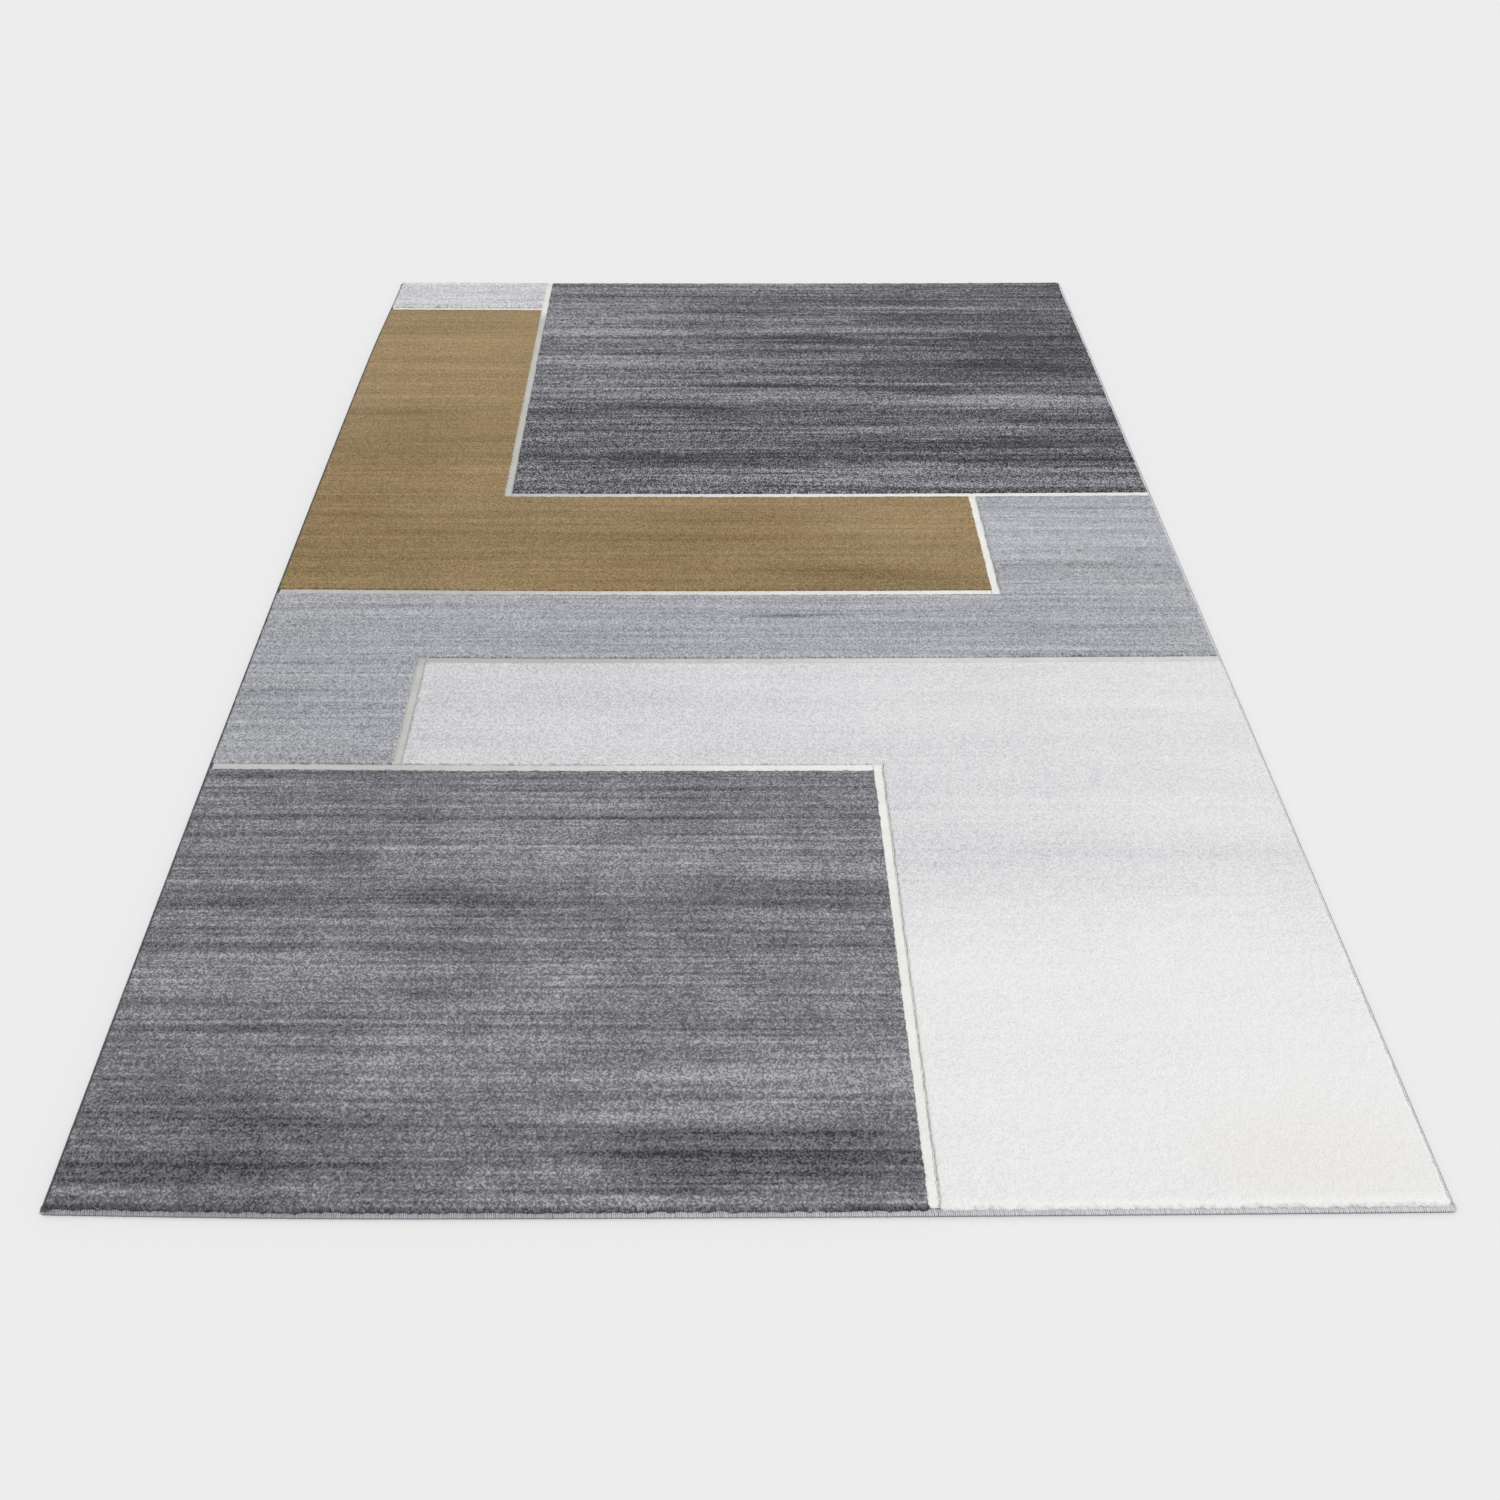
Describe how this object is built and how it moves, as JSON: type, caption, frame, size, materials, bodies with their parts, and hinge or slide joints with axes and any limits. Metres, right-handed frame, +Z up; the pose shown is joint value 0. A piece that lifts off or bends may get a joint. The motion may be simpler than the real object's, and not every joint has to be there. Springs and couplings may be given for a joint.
{
  "type": "area rug",
  "caption": "Rectangular cut-pile area rug with a colour-block pattern, sunken pale outlines between the blocks and an overcast edge all round.",
  "frame": {"origin": "middle of the underside, on the floor that the rug lies on", "axes": "+Z up through the pile, +Y along the rug's length towards the end with the pale corner, +X across its width towards the ivory field"},
  "size_m": [1.6, 2.3, 0.0125],
  "materials": {
    "backcoat": "matte",
    "ground": "matte",
    "pile_pale_grey": "matte",
    "pile_gold": "matte",
    "pile_charcoal": "matte",
    "pile_silver": "matte",
    "pile_ivory": "matte",
    "outline_pile": "matte",
    "edge_yarn": "satin",
    "filler_cord": "matte",
    "seam_thread": "satin"
  },
  "bodies": {
    "root": {"latex_backcoat": "backcoat", "ground_weave": "ground", "pile_pale_corner": "pile_pale_grey", "pile_gold": "pile_gold", "pile_charcoal_back": "pile_charcoal", "pile_silver": "pile_silver", "pile_ivory": "pile_ivory", "pile_charcoal_front": "pile_charcoal", "outline_corner_front": "outline_pile", "outline_back_block_side": "outline_pile", "outline_back_block_front": "outline_pile", "outline_gold_end": "outline_pile", "outline_gold_front": "outline_pile", "outline_ivory_end": "outline_pile", "outline_ivory_back": "outline_pile", "outline_front_block_side": "outline_pile", "outline_front_block_back": "outline_pile", "left_overcast": "edge_yarn", "right_overcast": "edge_yarn", "front_overcast": "edge_yarn", "back_overcast": "edge_yarn", "left_edge_cord": "filler_cord", "right_edge_cord": "filler_cord", "front_edge_cord": "filler_cord", "back_edge_cord": "filler_cord", "front_seam_thread": "seam_thread", "back_seam_thread": "seam_thread"}
  },
  "joints": []
}
